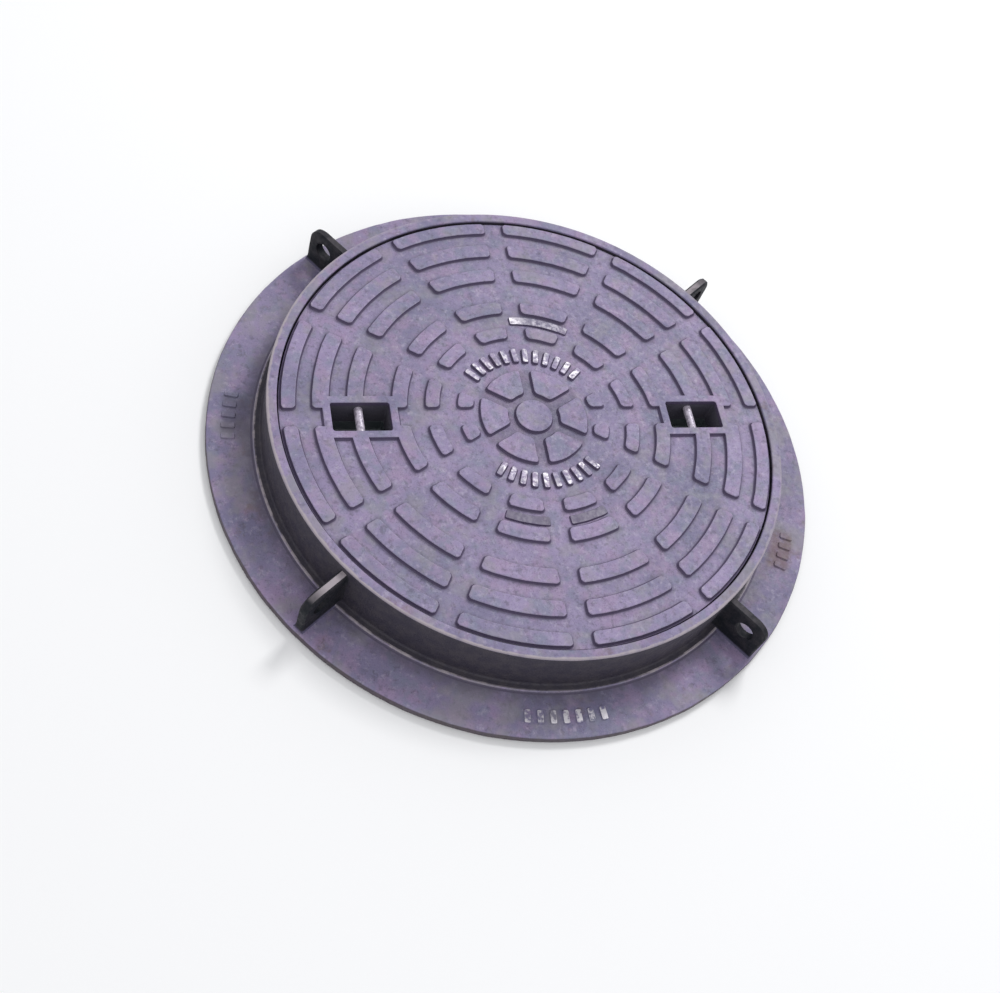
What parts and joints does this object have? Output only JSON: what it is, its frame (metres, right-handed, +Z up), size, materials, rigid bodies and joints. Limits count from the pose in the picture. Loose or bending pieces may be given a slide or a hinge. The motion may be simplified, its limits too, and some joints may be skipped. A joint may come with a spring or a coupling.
{
  "type": "manhole cover",
  "caption": "Round heavy-duty iron manhole cover with raised tread, seated in a flanged ring frame with gusset lugs.",
  "frame": {"origin": "centre of the frame's base, on the plane it is bedded on", "axes": "+Z up, through the centre of the cover; the two key slots lie on X"},
  "size_m": [0.816, 0.816, 0.086],
  "materials": {
    "frame_iron": "sand-cast, thin dark grey coat",
    "cover_iron": "sand-cast, thin grey coat worn on the raised blocks",
    "gasket_rubber": "matt black moulded rubber",
    "bar_steel": "plain round bar, dull",
    "cup_plastic": "matt black moulded plastic",
    "screw_steel": "zinc plated"
  },
  "bodies": {
    "frame": {"frame_ring": "frame_iron", "anchor_lug_1": "frame_iron", "anchor_lug_2": "frame_iron", "anchor_lug_3": "frame_iron", "anchor_lug_4": "frame_iron", "seat_gasket": "gasket_rubber"},
    "cover": {"cover_casting": "cover_iron", "lifting_bar_right": "bar_steel", "lifting_bar_left": "bar_steel", "key_cup_right": "cup_plastic", "key_cup_left": "cup_plastic", "key_cup_screws": "screw_steel"}
  },
  "joints": [
    {"name": "cover_lift", "type": "slide", "parent": "frame", "child": "cover", "axis": [0, 0, 1], "range_m": [0, 0.12]}
  ]
}
